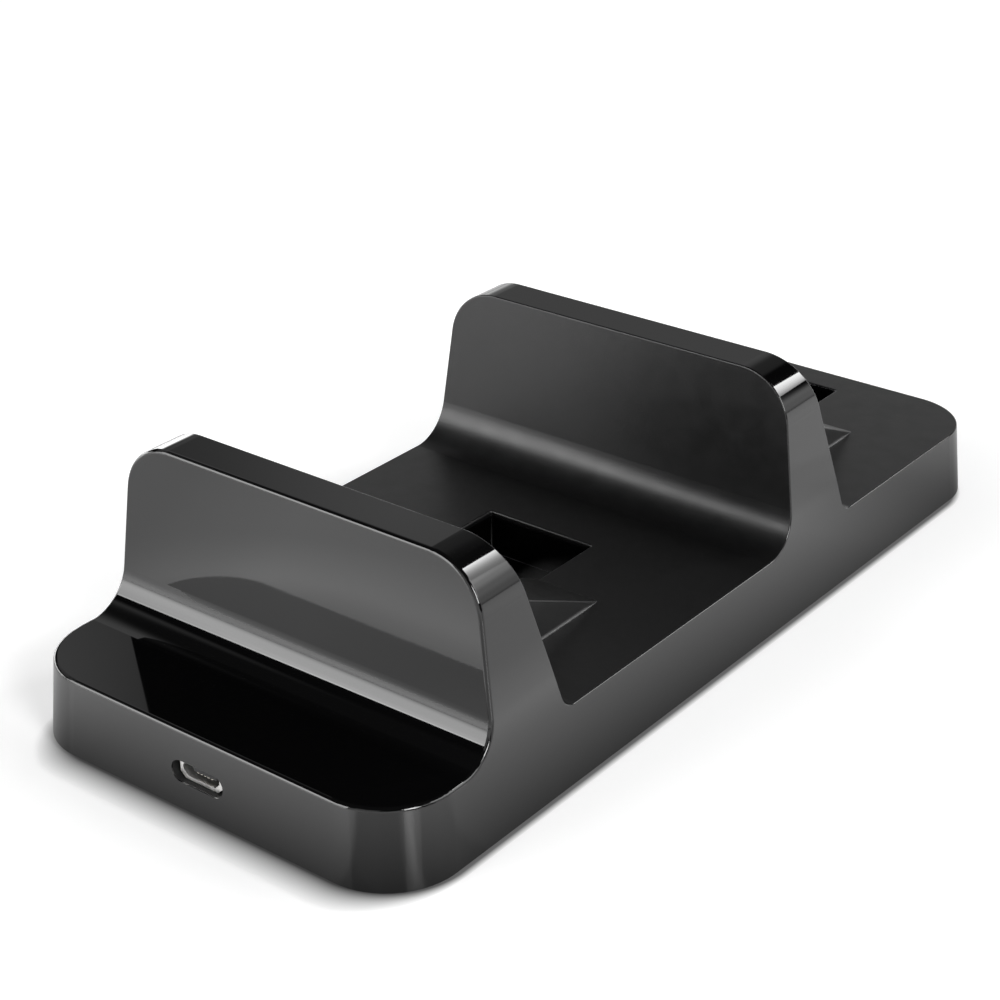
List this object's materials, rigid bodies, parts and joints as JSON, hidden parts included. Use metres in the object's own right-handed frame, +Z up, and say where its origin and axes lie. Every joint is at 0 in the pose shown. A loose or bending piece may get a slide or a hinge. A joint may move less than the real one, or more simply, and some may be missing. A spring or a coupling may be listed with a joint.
{
  "type": "controller charging dock",
  "caption": "Low two-bay charging stand: a black moulded tray with upright back rests, ramps, plug recesses and a small power inlet at one end.",
  "frame": {"origin": "under the middle of the dock, on the surface that its rubber feet stand on", "axes": "+Z up, -Y towards the end with the power inlet, +X to the right when that end faces the viewer"},
  "size_m": [0.073, 0.1604, 0.0408],
  "materials": {
    "housing": "piano-black gloss, with a satin grain in the bays",
    "cover": "fine moulded grain",
    "rubber": "matt",
    "screw_steel": "black-zinc plated",
    "circuit_board": "solder resist over glass laminate",
    "connector_steel": "nickel plated",
    "contact_gold": "gold flashed",
    "moulded_black": "satin",
    "capacitor_can": "bright can",
    "fuse_body": "dipped polymer",
    "resistor_body": "glazed",
    "lead_red": "smooth insulation",
    "lead_black": "smooth insulation"
  },
  "bodies": {
    "root": {"top_housing": "housing", "bottom_cover": "cover", "rubber_foot_front_left": "rubber", "rubber_foot_front_right": "rubber", "rubber_foot_rear_left": "rubber", "rubber_foot_rear_right": "rubber", "cover_screws": "screw_steel", "board_screws": "screw_steel", "inlet_board": "circuit_board", "front_plug_board": "circuit_board", "rear_plug_board": "circuit_board", "inlet_shell": "connector_steel", "inlet_contacts": "contact_gold", "inlet_insulator": "moulded_black", "charge_controller": "moulded_black", "input_capacitor": "capacitor_can", "resettable_fuse": "fuse_body", "chip_resistors": "resistor_body", "front_plug_shell": "connector_steel", "front_plug_insulator": "moulded_black", "front_plug_contacts": "contact_gold", "front_plug_body": "moulded_black", "front_lead_positive": "lead_red", "front_lead_negative": "lead_black", "rear_plug_shell": "connector_steel", "rear_plug_insulator": "moulded_black", "rear_plug_contacts": "contact_gold", "rear_plug_body": "moulded_black", "rear_lead_positive": "lead_red", "rear_lead_negative": "lead_black"}
  },
  "joints": []
}
